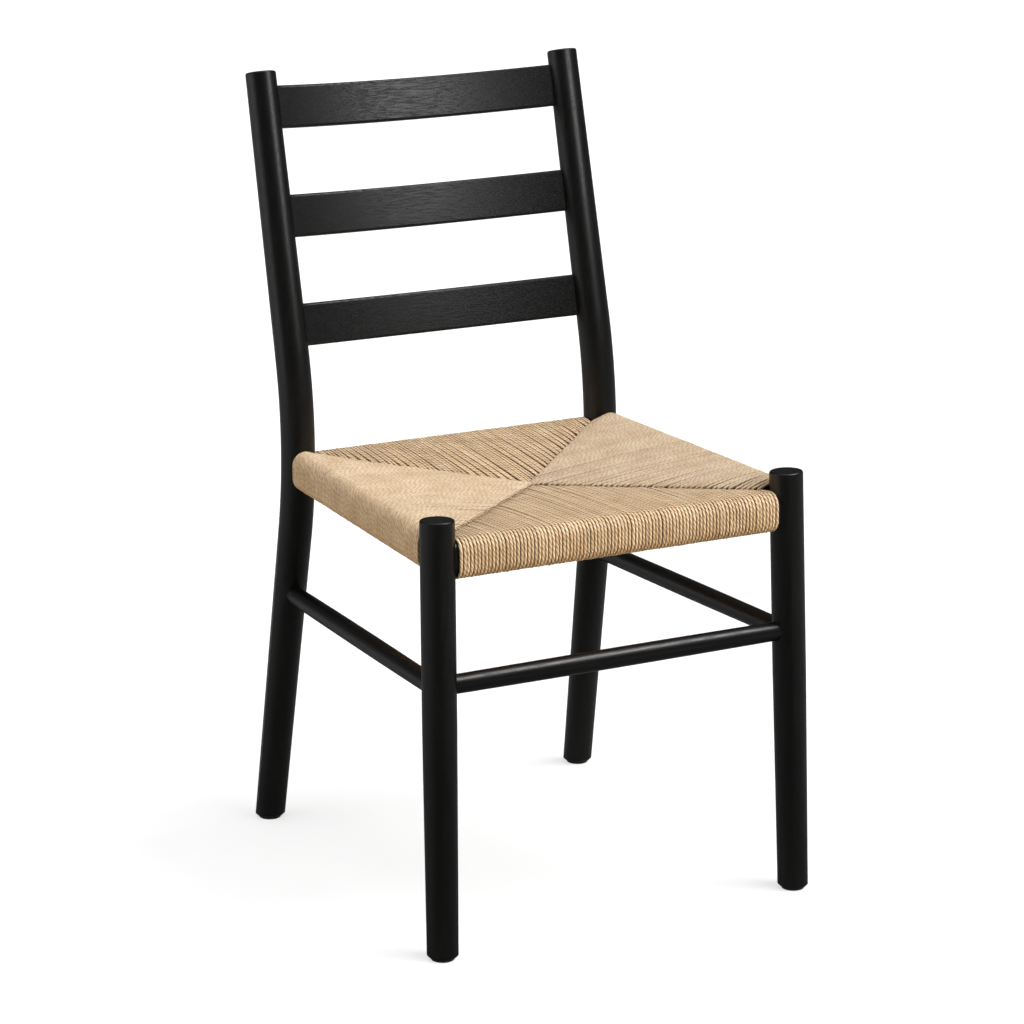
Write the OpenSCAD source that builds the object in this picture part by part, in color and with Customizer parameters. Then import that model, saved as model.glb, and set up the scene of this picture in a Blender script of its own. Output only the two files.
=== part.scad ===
// Ladder-back dining chair: round turned legs, three bowed back slats,
// rounded seat rails and a seat of natural paper cord in four woven fields.
// The chair faces -Y. The origin is on the floor, in the middle of its outline in plan.

/* [Overall] */
// Height of the seat's side edges above the floor
seat_h = 464; // [380:1:560]
// Rise of the back posts above the seat edges
back_rise = 411; // [330:1:520]
// Distance between the axes of the front legs at their tops
front_w = 423; // [350:1:520]
// Distance along the floor from the front feet to the rear feet
foot_d = 477.7; // [395:1:575]

/* [Front legs] */
// Diameter of a front leg at the seat
front_leg_d = 37; // [30:0.5:46]
// Diameter of a front leg at the floor
front_foot_d = 34; // [27:0.5:42]
// Height at which the taper to the foot begins
taper_h = 249; // [150:1:300]
// How far a front leg stands up past the seat edge
front_proud = 12.5; // [4:0.5:25]
// How far each front foot stands outward of its top
front_splay = 7; // [0:0.5:20]
// Backward lean of a front leg, in degrees
front_lean = 2.6; // [0:0.1:6]

/* [Rear legs] */
// Diameter of a rear leg at the bend
rear_leg_d = 38.5; // [31:0.5:46]
// Diameter of a rear leg at its top
rear_top_d = 34.5; // [28:0.5:42]
// Diameter of a rear leg at the floor
rear_foot_d = 34.2; // [27:0.5:42]
// How much nearer the middle each rear leg stands than a front leg, at the bend
rear_inset = 17.4; // [0:0.1:40]
// How far each rear foot stands outward of the bend
rear_splay = 12.4; // [0:0.1:30]
// How far each post top stands inward of the bend
post_close = 2.5; // [0:0.1:12]
// Forward lean of the leg below the bend, in degrees
rear_lean = 10.2; // [4:0.1:14]
// Backward rake of the post above the bend, in degrees
back_rake = 14.1; // [8:0.1:18]
// Radius of the bend along the leg's axis
bend_r = 500; // [300:5:600]

/* [Back slats] */
// Height of a slat, measured along the posts
slat_h = 48; // [38:1:60]
// Thickness of a slat
slat_t = 13.5; // [11:0.5:18]
// Backward bow of a slat at its middle
slat_bow = 40; // [15:1:60]
// Distance from the post's top to the middle of the top slat
top_slat_drop = 40; // [30:1:60]
// Distance from the bend to the middle of the bottom slat
bottom_slat_rise = 138; // [110:1:170]

/* [Seat frame] */
// Height of a seat rail's section
rail_h = 38; // [31:0.5:46]
// Thickness of a seat rail
rail_t = 23; // [18.5:0.5:28]
// How much higher the side rails sit than the front and rear rails
side_rail_step = 7.5; // [4:0.5:12]
// Height of the front stretcher's axis
front_stretcher_z = 298.3; // [240:0.1:355]
// Height of the side stretchers' axes at the front legs
side_stretcher_z = 295; // [240:0.5:355]
// Fall of the side stretchers towards the rear legs
stretcher_fall = 6.6; // [0:0.1:20]
// Diameter of a stretcher at its ends
stretcher_end_d = 21; // [17.5:0.1:26]
// Diameter of a stretcher at its middle
stretcher_mid_d = 22.3; // [18.5:0.1:27]
// Diameter of the round tenons on rails and stretchers
tenon_d = 14; // [11:0.5:16]

/* [Woven seat] */
// Diameter of the paper cord
cord_d = 4; // [3:0.1:5]
// How far the middle of the seat lies below its side edges
seat_dish = 21; // [15:0.5:26]
// Thickness of the whole weave in the middle of the seat
mid_t = 12; // [10:0.5:15]
// Thickness of the stuffing boards between the cord layers
board_t = 2.5; // [1.5:0.5:3]
// Space between the cord and the legs
cord_gap = 0.3; // [0.2:0.1:1]

/* [Hidden] */
$fn = 64;
ring_fn = 256;          // $fn of the large rings: the legs' bends and the slats' bows
section_fn = 64;        // $fn of a bend's round section
edge_fn = 32;           // $fn of the small roundings along the slats

BLACK = [0.07, 0.07, 0.07];
CORD = [0.83, 0.71, 0.57];
BOARD = [0.62, 0.48, 0.33];
FELT = [0.12, 0.12, 0.12];
STEEL = [0.6, 0.6, 0.62];

slat_count = 3;         // top, middle and bottom slat
bend_rise = 0.5;        // from the seat's side edges up to the bend of the rear legs
end_round = 2.5;        // rounding of the leg tops
foot_chamfer = 3;       // 45 degree chamfer round each foot
glide_t = 2;            // felt glide under each foot
glide_margin = 4.5;     // how far a glide stays inside its foot
slat_round = 3;         // rounding along a slat's edges
slat_shoulder_t = 2.5;  // cut from each face of a slat to leave its tenon
slat_shoulder_h = 4;    // cut from each edge of a slat to leave its tenon
slat_tenon_stop = 4;    // a slat tenon stops this far short of the leg's axis
tenon_stop = 1;         // two tenons at right angles miss each other by this much
tenon_root = 8;         // a tenon's cylinder runs this far inside its rail
tack_d = 1.6;
tack_l = 12;
tack_head_d = 4;
tack_head_t = 1;
tack_inset = 45;        // from the leg axis to the tack, along the side rail
board_inset = 14;       // from the seams and the rail to a stuffing board's edge
board_share = 0.6;      // how much of the way to the middle a stuffing board fills
arc_steps = 12;         // flats along the cord's turn round a rail's edge
bend_proud = 0.05;      // how far the bend's ring stands proud of the straight parts
bend_lap = 1;           // how far the straight parts run into the ring
stretcher_steps = 10;   // lengths that a stretcher's swelling outline is made of
foot_run = 15;          // how far a rear leg's cone runs below the floor, before its trim
reach = 60;             // length by which cutting shapes run past what they cut

bend_z = seat_h + bend_rise;
front_top_z = seat_h + front_proud;
side_rail_z = seat_h - cord_d - rail_h / 2;
front_rail_z = side_rail_z - side_rail_step;
mid_top_z = seat_h - seat_dish;
mid_bottom_z = mid_top_z - mid_t;

// Axis points of the right-hand legs, with y counted from the front feet
front_foot = [front_w / 2 + front_splay, 0, 0];
front_top = [front_w / 2, front_top_z * tan(front_lean), front_top_z];
rear_bend = [front_w / 2 - rear_inset, foot_d - bend_z * tan(rear_lean), bend_z];
rear_foot = [rear_bend.x + rear_splay, foot_d, 0];
rear_top = rear_bend + [-post_close, back_rise * tan(back_rake), back_rise];

// The rear leg's own plane: its turn about Z and its tilt about Y
plane_n = cross(rear_bend - rear_foot, rear_top - rear_bend) * -1;
plane_u = plane_n / norm(plane_n);
leg_turn = atan2(plane_u.y, plane_u.x);
leg_tilt = -asin(plane_u.z);
plane_y = [-sin(leg_turn), cos(leg_turn), 0];
plane_z = [sin(leg_tilt) * cos(leg_turn), sin(leg_tilt) * sin(leg_turn), cos(leg_tilt)];
function in_plane(p) = [(p - rear_foot) * plane_y, (p - rear_foot) * plane_z];
bend_p = in_plane(rear_bend);
top_p = in_plane(rear_top);
low_a = atan2(bend_p.x, bend_p.y);
up_a = atan2(top_p.x - bend_p.x, top_p.y - bend_p.y);
bend_a = up_a - low_a;
tangent_l = bend_r * tan(bend_a / 2);
arc_start = bend_p - tangent_l * [sin(low_a), cos(low_a)];
arc_end = bend_p + tangent_l * [sin(up_a), cos(up_a)];
arc_centre = arc_start + bend_r * [cos(low_a), -sin(low_a)];

// Where each leg's axis is at a height above the floor
function front_at(z) = front_foot + (front_top - front_foot) * z / front_top.z;
function rear_y(v) = v < arc_start.y ? v * tan(low_a)
    : v > arc_end.y ? bend_p.x + (v - bend_p.y) * tan(up_a)
    : arc_centre.x - sqrt(bend_r * bend_r - pow(v - arc_centre.y, 2));
function rear_at(z) = rear_foot + rear_y(z / cos(leg_tilt)) * plane_y + z / cos(leg_tilt) * plane_z;
function left(p) = [-p.x, p.y, p.z];
function flat(p) = [p.x, p.y];

// The outline in plan runs from the front feet to the post tops or the top slat
chamfer_rise = (foot_chamfer + front_foot_d / 2 * (1 / cos(front_lean) - 1)) / (1 + tan(front_lean));
front_edge_y = glide_t * tan(front_lean) - front_foot_d / 2 + foot_chamfer - chamfer_rise;
post_edge_y = rear_top.y - end_round * sin(back_rake)
    + (rear_top_d / 2 - end_round) * cos(back_rake) + end_round;
slat_edge_y = rear_top.y - top_slat_drop * sin(back_rake)
    + (slat_bow + slat_t / 2 - slat_round) * cos(back_rake)
    + (slat_h / 2 - slat_round) * sin(back_rake) + slat_round;
middle_y = (front_edge_y + max(post_edge_y, slat_edge_y)) / 2;

// Seams of the weave: the axes of the legs at the seat, and the middle
seam_front = flat(front_at(side_rail_z));
seam_rear = flat(rear_at(side_rail_z));
seam_mid = [0, (seam_front.y + seam_rear.y) / 2];

// ---------------------------------------------------------------- helpers

// Puts a child that stands on the origin along the line from a to b
module along(a, b) {
    v = b - a;
    translate(a) rotate([0, acos(v.z / norm(v)), atan2(v.y, v.x)]) children();
}

// Runs a section level from a to b: its x points left of the way, its y up
module run(a, b) {
    translate(a) rotate([0, 0, atan2(b.y - a.y, b.x - a.x)]) rotate([90, 0, 90])
        linear_extrude(norm(b - a)) children();
}

module mirrored() {
    mirror([1, 0, 0]) children();
}

// Brings a piece from the front-foot datum to the middle of the outline
module place() {
    translate([0, -middle_y, 0]) children();
}

// A round bar along Z from r1 to r2, with its far end rounded over
module rounded_end_bar(h, r1, r2) {
    rotate_extrude() {
        polygon([[0, 0], [r1, 0], [r2, h - end_round], [r2 - end_round, h], [0, h]]);
        intersection() {
            translate([r2 - end_round, h - end_round]) circle(end_round);
            translate([0, h - end_round]) square([r2, end_round]);
        }
    }
}

// Trims a leg level above its glide and chamfers the edge
module foot_trim(centre, d) {
    wide = 20 * reach;
    intersection() {
        children();
        translate([centre.x, centre.y, glide_t]) union() {
            cylinder(h = reach, r1 = d / 2 - foot_chamfer, r2 = d / 2 - foot_chamfer + reach);
            translate([-wide / 2, -wide / 2, reach / 2]) cube(wide);
        }
    }
}

// A flat bar section with rounded edges, centred on the origin
module rounded_bar(w, h, r) {
    square([w - 2 * r, h], center = true);
    square([w, h - 2 * r], center = true);
    for (x = [-1, 1], y = [-1, 1]) translate([x * (w / 2 - r), y * (h / 2 - r)]) circle(r);
}

// A bar section whose two short edges are half round
module half_round_bar(w, h) {
    square([w, h - w], center = true);
    for (y = [-1, 1]) translate([0, y * (h - w) / 2]) circle(w / 2);
}

// ------------------------------------------------------------------- legs

module front_leg_bar(grow = 0) {
    along(front_foot, front_top) {
        cylinder(h = taper_h, r1 = front_foot_d / 2 + grow, r2 = front_leg_d / 2 + grow);
        translate([0, 0, taper_h])
            rounded_end_bar(norm(front_top - front_foot) - taper_h, front_leg_d / 2 + grow,
                front_leg_d / 2 + grow);
    }
}

// The bend of a rear leg, as a piece of a ring of the given radius
module bend_ring(r) {
    translate([0, arc_centre.x, arc_centre.y]) rotate([90, 0, 90]) rotate([0, 0, 180 - up_a])
        rotate_extrude(angle = bend_a, $fn = ring_fn) translate([bend_r, 0]) circle(r, $fn = section_fn);
}

module rear_leg_bar(grow = 0) {
    translate(rear_foot) rotate([0, leg_tilt, leg_turn]) {
        rotate([-low_a, 0, 0]) translate([0, 0, -foot_run])
            cylinder(h = norm(arc_start) + foot_run + bend_lap,
                r1 = rear_foot_d / 2 + grow, r2 = rear_leg_d / 2 + grow);
        bend_ring(rear_leg_d / 2 + bend_proud + grow);
        translate([0, arc_end.x, arc_end.y]) rotate([-up_a, 0, 0]) translate([0, 0, -bend_lap])
            rounded_end_bar(norm(top_p - arc_end) + bend_lap, rear_leg_d / 2 + grow, rear_top_d / 2 + grow);
    }
}

// The legs that a front, rear or side piece meets
module met_legs(side, grow = 0) {
    if (side != "rear") front_leg_bar(grow);
    if (side == "front") mirrored() front_leg_bar(grow);
    if (side != "front") rear_leg_bar(grow);
    if (side == "rear") mirrored() rear_leg_bar(grow);
}

// A round tenon at the a end of the bar from a to b, where a is on a leg's axis
module tenon(a, b, leg_d) {
    stop = tenon_d / 2 + tenon_stop;
    along(a, b) translate([0, 0, stop]) cylinder(h = leg_d / 2 + tenon_root - stop, d = tenon_d);
}

// The rails and stretchers by their axis ends: [start, end, start leg, end leg]
function side_ends(z1, z2) = [front_at(z1), rear_at(z2), front_leg_d, rear_leg_d];
side_rail_ends = side_ends(side_rail_z, side_rail_z);
side_stretcher_ends = side_ends(side_stretcher_z, side_stretcher_z - stretcher_fall);
front_rail_ends = [left(front_at(front_rail_z)), front_at(front_rail_z), front_leg_d, front_leg_d];
rear_rail_ends = [rear_at(front_rail_z), left(rear_at(front_rail_z)), rear_leg_d, rear_leg_d];
front_stretcher_ends = [left(front_at(front_stretcher_z)), front_at(front_stretcher_z),
    front_leg_d, front_leg_d];

module tenons(ends) {
    tenon(ends[0], ends[1], ends[2]);
    tenon(ends[1], ends[0], ends[3]);
}

module front_leg() {
    color(BLACK) place() difference() {
        foot_trim(front_at(glide_t), front_foot_d) front_leg_bar();
        tenons(side_rail_ends);
        tenons(side_stretcher_ends);
        tenons(front_rail_ends);
        tenons(front_stretcher_ends);
    }
}

module rear_leg() {
    color(BLACK) place() difference() {
        foot_trim(rear_at(glide_t), rear_foot_d) rear_leg_bar();
        tenons(side_rail_ends);
        tenons(side_stretcher_ends);
        tenons(rear_rail_ends);
        for (i = [0 : slat_count - 1]) slat_tenon(i);
    }
}

// ------------------------------------------------------- rails, stretchers

module rail_bar(ends) {
    run(ends[0], ends[1]) half_round_bar(rail_t, rail_h);
}

// The front and rear rails give way to the side rails where thick rails would meet
module seat_rail(ends, side) {
    color(BLACK) place() {
        difference() {
            rail_bar(ends);
            met_legs(side);
            if (side != "side") {
                rail_bar(side_rail_ends);
                mirrored() rail_bar(side_rail_ends);
            }
        }
        tenons(ends);
    }
}

// A slim bar that swells towards its middle by a sine curve
module stretcher(ends, side) {
    l = norm(ends[1] - ends[0]);
    swell = (stretcher_mid_d - stretcher_end_d) / 2;
    color(BLACK) place() {
        difference() {
            along(ends[0], ends[1]) rotate_extrude()
                polygon(concat([[0, l], [0, 0]], [for (i = [0 : stretcher_steps])
                    [stretcher_end_d / 2 + swell * sin(180 * i / stretcher_steps),
                        l * i / stretcher_steps]]));
            met_legs(side);
        }
        tenons(ends);
    }
}

// ------------------------------------------------------------------ slats

post_l = norm(rear_top - rear_bend);
slat_pitch = (post_l - top_slat_drop - bottom_slat_rise) / (slat_count - 1);

// Axis point of the right post at slat i, counted from the top
function slat_end(i) = rear_top + (rear_bend - rear_top) * (top_slat_drop + i * slat_pitch) / post_l;

// Sweeps a section, x outward and y along the posts, round slat i's bow
module slat_sweep(i, half_w) {
    e = slat_end(i);
    bow_r = (e.x * e.x + slat_bow * slat_bow) / (2 * slat_bow);
    half_a = asin(half_w / bow_r);
    translate([0, e.y, e.z]) rotate([-back_rake, 0, 0]) translate([0, slat_bow - bow_r, 0])
        rotate([0, 0, 90 - half_a]) rotate_extrude(angle = 2 * half_a, $fn = ring_fn)
            translate([bow_r, 0]) children();
}

module slat_tenon(i) {
    slat_sweep(i, slat_end(i).x - slat_tenon_stop)
        square([slat_t - 2 * slat_shoulder_t, slat_h - 2 * slat_shoulder_h], center = true);
}

module slat(i) {
    color(BLACK) place() {
        difference() {
            slat_sweep(i, slat_end(i).x) rounded_bar(slat_t, slat_h, slat_round, $fn = edge_fn);
            met_legs("rear");
        }
        slat_tenon(i);
    }
}

// ------------------------------------------------------------- woven seat

wrap_c = rail_h / 2 - rail_t / 2;      // centre of a rail's rounded edge
rail_r = rail_t / 2;

// Slope of a cord that leaves a rail's rounded edge for a point u in and v down
function cord_slope(u, v, r) = atan2(v, u) + asin(r / norm([u, v]));

function arc_points(c, r, a0, a1) = [for (i = [0 : arc_steps])
    c + r * [cos(a0 + (a1 - a0) * i / arc_steps), sin(a0 + (a1 - a0) * i / arc_steps)]];
function mirror_v(points) = [for (i = [len(points) - 1 : -1 : 0]) [points[i].x, -points[i].y]];

// Slopes of the top and bottom layers of a field whose middle is u in from the rail
function top_slope(rail_z, u) = cord_slope(u, rail_z + wrap_c - mid_top_z, rail_r + cord_d);
function low_slope(rail_z, u) = cord_slope(u, mid_bottom_z - rail_z + wrap_c, rail_r + cord_d);

// A line from the middle of the seat to a rail's edge and round it to its outside
function wrap_line(slope, r, u) = concat(
    [[0, wrap_c] + r * [sin(slope), cos(slope)]
        + (u - r * sin(slope)) / cos(slope) * [cos(slope), -sin(slope)]],
    arc_points([0, wrap_c], r, 90 - slope, 180));

// The field's section: the cord from the middle, round the rail and back below.
// The inner outline is drawn round the rail, so that its flats touch the wood.
module field_section(rail_z, u) {
    top = top_slope(rail_z, u);
    low = low_slope(rail_z, u);
    half_step = (90 + max(top, low)) / arc_steps / 2;
    inner_r = rail_r / cos(half_step);
    outer = concat(wrap_line(top, rail_r + cord_d, u), mirror_v(wrap_line(low, rail_r + cord_d, u)));
    inner = concat(wrap_line(top, inner_r, u), mirror_v(wrap_line(low, inner_r, u)));
    polygon(concat(outer, [for (i = [len(inner) - 1 : -1 : 0]) inner[i]]));
}

// The board's section: it lies against the underside of the top layer
module board_section(rail_z, u) {
    slope = top_slope(rail_z, u);
    n = [sin(slope), cos(slope)];
    d = [cos(slope), -sin(slope)];
    start = rail_r + board_inset / 2;
    translate([0, wrap_c]) polygon([for (p = [[rail_r, start], [rail_r, start + u * board_share],
        [rail_r - board_t, start + u * board_share], [rail_r - board_t, start]]) p[0] * n + p[1] * d]);
}

// Plan outlines of the front, rear and right fields: edge is the way out over the rail
module front_plan(edge) {
    polygon([[-seam_front.x, seam_front.y], [-seam_front.x, seam_front.y - edge],
        [seam_front.x, seam_front.y - edge], seam_front, seam_mid]);
}

module rear_plan(edge) {
    polygon([[-seam_rear.x, seam_rear.y], seam_mid, seam_rear, [seam_rear.x, seam_rear.y + edge],
        [-seam_rear.x, seam_rear.y + edge]]);
}

module side_plan(edge) {
    polygon([seam_mid, seam_front, seam_front + [edge, 0], seam_rear + [edge, 0], seam_rear]);
}

// Distance in plan from a rail's line to the middle of the seat
function to_mid(a, b) = abs(cross(flat(b) - flat(a), seam_mid - flat(a))) / norm(flat(b) - flat(a));

module cord_field(ends, side) {
    color(CORD) place() difference() {
        intersection() {
            run(ends[0], ends[1]) field_section(ends[0].z, to_mid(ends[0], ends[1]));
            translate([0, 0, front_rail_z - reach]) linear_extrude(3 * reach) field_plan(side, reach);
        }
        met_legs(side, cord_gap);
    }
}

module field_plan(side, edge) {
    if (side == "front") front_plan(edge);
    if (side == "rear") rear_plan(edge);
    if (side == "side") side_plan(edge);
}

module stuffing_board(ends, side) {
    color(BOARD) place() intersection() {
        run(ends[0], ends[1]) board_section(ends[0].z, to_mid(ends[0], ends[1]));
        translate([0, 0, front_rail_z - reach]) linear_extrude(3 * reach) board_plan(side);
    }
}

// A field's plan drawn in from its seams, so that the boards stay apart
module board_plan(side) {
    shift = side == "front" ? [0, -board_inset] : side == "rear" ? [0, board_inset] : [board_inset, 0];
    intersection() {
        field_plan(side, 0);
        translate(shift) field_plan(side, 0);
    }
}

// ------------------------------------------------------ glides and tacks

module glide(centre, d) {
    color(FELT) place() translate(flat(centre)) cylinder(h = glide_t, d = d - 2 * glide_margin);
}

// A tack driven outward into the right side rail, at a point on the rail's axis
module tack(ends, s, sink = 0) {
    a = ends[0];
    b = ends[1];
    p = a + (b - a) * s / norm(b - a);
    translate(p) rotate([0, 0, atan2(b.y - a.y, b.x - a.x)]) rotate([-90, 0, 0]) {
        translate([0, 0, rail_r - tack_l]) cylinder(h = tack_l, d = tack_d);
        if (sink == 0) translate([0, 0, rail_r]) cylinder(h = tack_head_t, d = tack_head_d);
    }
}

module side_tacks(sink = 0) {
    tack(side_rail_ends, tack_inset, sink);
    tack(side_rail_ends, norm(side_rail_ends[1] - side_rail_ends[0]) - tack_inset, sink);
}

module side_seat_rail() {
    difference() {
        seat_rail(side_rail_ends, "side");
        place() side_tacks(1);
    }
}

// ---------------------------------------------------------------- pieces

mirrored() front_leg();  // front_leg_left
front_leg();  // front_leg_right
mirrored() rear_leg();  // rear_leg_left
rear_leg();  // rear_leg_right
seat_rail(front_rail_ends, "front");  // front_seat_rail
seat_rail(rear_rail_ends, "rear");  // rear_seat_rail
mirrored() side_seat_rail();  // left_seat_rail
side_seat_rail();  // right_seat_rail
stretcher(front_stretcher_ends, "front");  // front_stretcher
mirrored() stretcher(side_stretcher_ends, "side");  // left_stretcher
stretcher(side_stretcher_ends, "side");  // right_stretcher
slat(0);  // top_slat
slat(1);  // middle_slat
slat(slat_count - 1);  // bottom_slat
cord_field(front_rail_ends, "front");  // front_cord_field
cord_field(rear_rail_ends, "rear");  // rear_cord_field
mirrored() cord_field(side_rail_ends, "side");  // left_cord_field
cord_field(side_rail_ends, "side");  // right_cord_field
stuffing_board(front_rail_ends, "front");  // front_stuffing_board
stuffing_board(rear_rail_ends, "rear");  // rear_stuffing_board
mirrored() stuffing_board(side_rail_ends, "side");  // left_stuffing_board
stuffing_board(side_rail_ends, "side");  // right_stuffing_board
mirrored() glide(front_at(glide_t), front_foot_d);  // front_glide_left
glide(front_at(glide_t), front_foot_d);  // front_glide_right
mirrored() glide(rear_at(glide_t), rear_foot_d);  // rear_glide_left
glide(rear_at(glide_t), rear_foot_d);  // rear_glide_right
color(STEEL) place() {  // cord_tacks
    side_tacks();
    mirrored() side_tacks();
}
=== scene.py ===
"""Ladder-back dining chair in black-stained wood with a woven paper-cord seat.

The wooden frame is loaded ready made. This script finishes its wood, weaves the seat
cord by cord round the seat rails, and sets the studio round the chair.
Every length is in metres.
"""

import math
import random

import bpy
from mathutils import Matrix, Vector


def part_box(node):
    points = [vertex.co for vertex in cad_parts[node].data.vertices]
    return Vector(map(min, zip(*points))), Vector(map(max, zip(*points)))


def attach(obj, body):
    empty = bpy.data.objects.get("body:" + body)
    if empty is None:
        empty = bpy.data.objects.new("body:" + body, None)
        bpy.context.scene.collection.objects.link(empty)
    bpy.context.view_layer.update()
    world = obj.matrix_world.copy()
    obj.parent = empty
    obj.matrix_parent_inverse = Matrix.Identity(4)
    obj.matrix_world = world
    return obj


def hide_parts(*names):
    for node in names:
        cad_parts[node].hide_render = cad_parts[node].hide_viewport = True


bl_info = {
    "name": "Paper Cord Dining Chair",
    "version": (1, 0, 0),
    "blender": (4, 5, 0),
    "location": "View3D > Sidebar > Chair",
    "description": "Finishes the wood of a ladder-back chair and weaves its paper-cord seat",
    "category": "Object",
}

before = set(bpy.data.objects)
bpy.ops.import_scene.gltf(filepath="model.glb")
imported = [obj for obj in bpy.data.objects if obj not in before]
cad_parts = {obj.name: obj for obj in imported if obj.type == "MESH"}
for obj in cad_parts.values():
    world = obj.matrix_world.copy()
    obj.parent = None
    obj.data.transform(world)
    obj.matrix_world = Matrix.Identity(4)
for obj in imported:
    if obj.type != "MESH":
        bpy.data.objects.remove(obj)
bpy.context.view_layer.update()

MM = 0.001

# The frame
TENON_GAP = 8 * MM      # from a leg's axis to the tip of the tenon in it
FRONT_LEG_D = 37 * MM   # at the seat
REAR_LEG_D = 38.5 * MM  # at the seat
LEGS = ["front_leg_left", "front_leg_right", "rear_leg_left", "rear_leg_right"]
CROSS_BARS = ["front_seat_rail", "rear_seat_rail", "front_stretcher"]
SIDE_BARS = ["left_seat_rail", "right_seat_rail", "left_stretcher", "right_stretcher"]
SLATS = ["top_slat", "middle_slat", "bottom_slat"]
FIELDS = ("front", "rear", "left", "right")
SIDE_FIELDS = ("left", "right")
BOARDS = [f"{side}_stuffing_board" for side in FIELDS]
GLIDES = [f"{end}_glide_{side}" for end in ("front", "rear") for side in SIDE_FIELDS]

# How a cord ends at its seam: (way ahead, way down) in cord diameters, from its tip inward
UNDER_END = ((0.7, 1.9), (0.3, 1.3), (-0.2, 0.7), (-0.9, 0.26), (-1.8, 0.05))
OVER_END = ((0.6, 1.0), (0.58, 0.5), (0.42, 0.2), (0.1, 0.04))
# How far a side cord lies over the field below it, in cord diameters: where the seam leaves
# the corner, and how much less in the middle of the seat
SEAM_LIFT, MIDDLE_SINK = 0.55, 0.15

# The drawn cord
WEAVE_SEED = 7
PLIES = 3
CORD_SIDES = 10         # flat sides of the drawn cord
PATH_STEP = 7 * MM      # longest straight piece of a drawn cord
TURN_STEPS = 8          # points on a cord's turn round a rail's edge
SLIM_L = 26 * MM        # length over which a cord's end slims
CROSS_SLIM = 0.55       # share by which the front and rear cords slim there
PAIR_SHIFT = 0.6 * MM   # how far front and rear cords lean towards their partners there
SLOT_CORDS = 5          # cords pushed aside at the seam by the right front leg
SLOT_W = 1.8 * MM       # gap that they leave beside the next cord
RADIUS_SPREAD = 0.025   # share by which a cord's radius strays
# Painted shade of the cord in each field: the side fields catch most of the light, and are painted
# darker to match. Then how far a cord's own tone strays at random, and how strongly its plies
# show, in bump and in painted shade
FIELD_PAINTED_SHADE = {"front": 0.96, "rear": 1.0, "left": 0.69, "right": 0.6}
SIDE_TONE_SPREAD, CROSS_TONE_SPREAD = 0.03, 0.08
SIDE_TWIST, CROSS_TWIST = 0.45, 1.0
# The dark sheet with the crossing cords' shade painted on it: its margin inside the rails' axis
# lines, and its thickness
SHEET_IN = 15 * MM
SHEET_T = 1 * MM

# The stage. Directions are (azimuth, elevation) in degrees, azimuth from straight ahead
KEY_AT = (64, 57)
RIGHT_BOX_AT = (29, 16)
FRONT_FILL_AT = (34, 30)
LEFT_FILL_AT = (-78, 5)
LEFT_BOX_AT = (-112, 0)
BOX_AIM = Vector((0, 0.2, 0.9))  # what the right box faces, just before the top slat
FLOOR_W = 40
KEY_AWAY = 3
FAR_CLIP = 100
# How much brighter the floor behind and beside the chair is than before it, as reflected
SWEEP_GAIN = 4.0


# ------------------------------------------------------------------ settings


class ChairCord(bpy.types.PropertyGroup):
    """Sizes of the cord and of the way it is woven."""

    diameter: bpy.props.FloatProperty(
        name="Diameter", description="Thickness of the paper cord",
        default=3.65 * MM, min=2 * MM, max=6 * MM, unit="LENGTH")
    pitch: bpy.props.FloatProperty(
        name="Pitch", description="Distance between neighbouring cords along a rail",
        default=4.15 * MM, min=3 * MM, max=7 * MM, unit="LENGTH")
    lay: bpy.props.FloatProperty(
        name="Ply spacing", description="Distance along the cord from one ply to the next",
        default=6 * MM, min=2 * MM, max=10 * MM, unit="LENGTH")
    layer: bpy.props.FloatProperty(
        name="Layer", description="Thickness of one layer of cord in the frame",
        default=4 * MM, min=2 * MM, max=6 * MM, unit="LENGTH")
    leg_gap: bpy.props.FloatProperty(
        name="Leg gap", description="Space between a leg and the first cord beside it",
        default=0.4 * MM, min=0, max=3 * MM, unit="LENGTH")
    dish: bpy.props.FloatProperty(
        name="Dish", description="How far the seat's middle lies below its side edges",
        default=21 * MM, min=5 * MM, max=30 * MM, unit="LENGTH")
    middle: bpy.props.FloatProperty(
        name="Middle thickness", description="Thickness of the weave in the seat's middle",
        default=12 * MM, min=8 * MM, max=20 * MM, unit="LENGTH")
    crown: bpy.props.FloatProperty(
        name="Crown", description="How far the stuffing lifts a field between rail and seam",
        default=1.5 * MM, min=0, max=4 * MM, unit="LENGTH")
    wander: bpy.props.FloatProperty(
        name="Wander", description="How far a cord strays from its place",
        default=0.14 * MM, min=0, max=1 * MM, unit="LENGTH")
    stray: bpy.props.FloatProperty(
        name="Stray at the seam", description="How far a cord strays from its place at its seam",
        default=0.55 * MM, min=0, max=1 * MM, unit="LENGTH")


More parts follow.
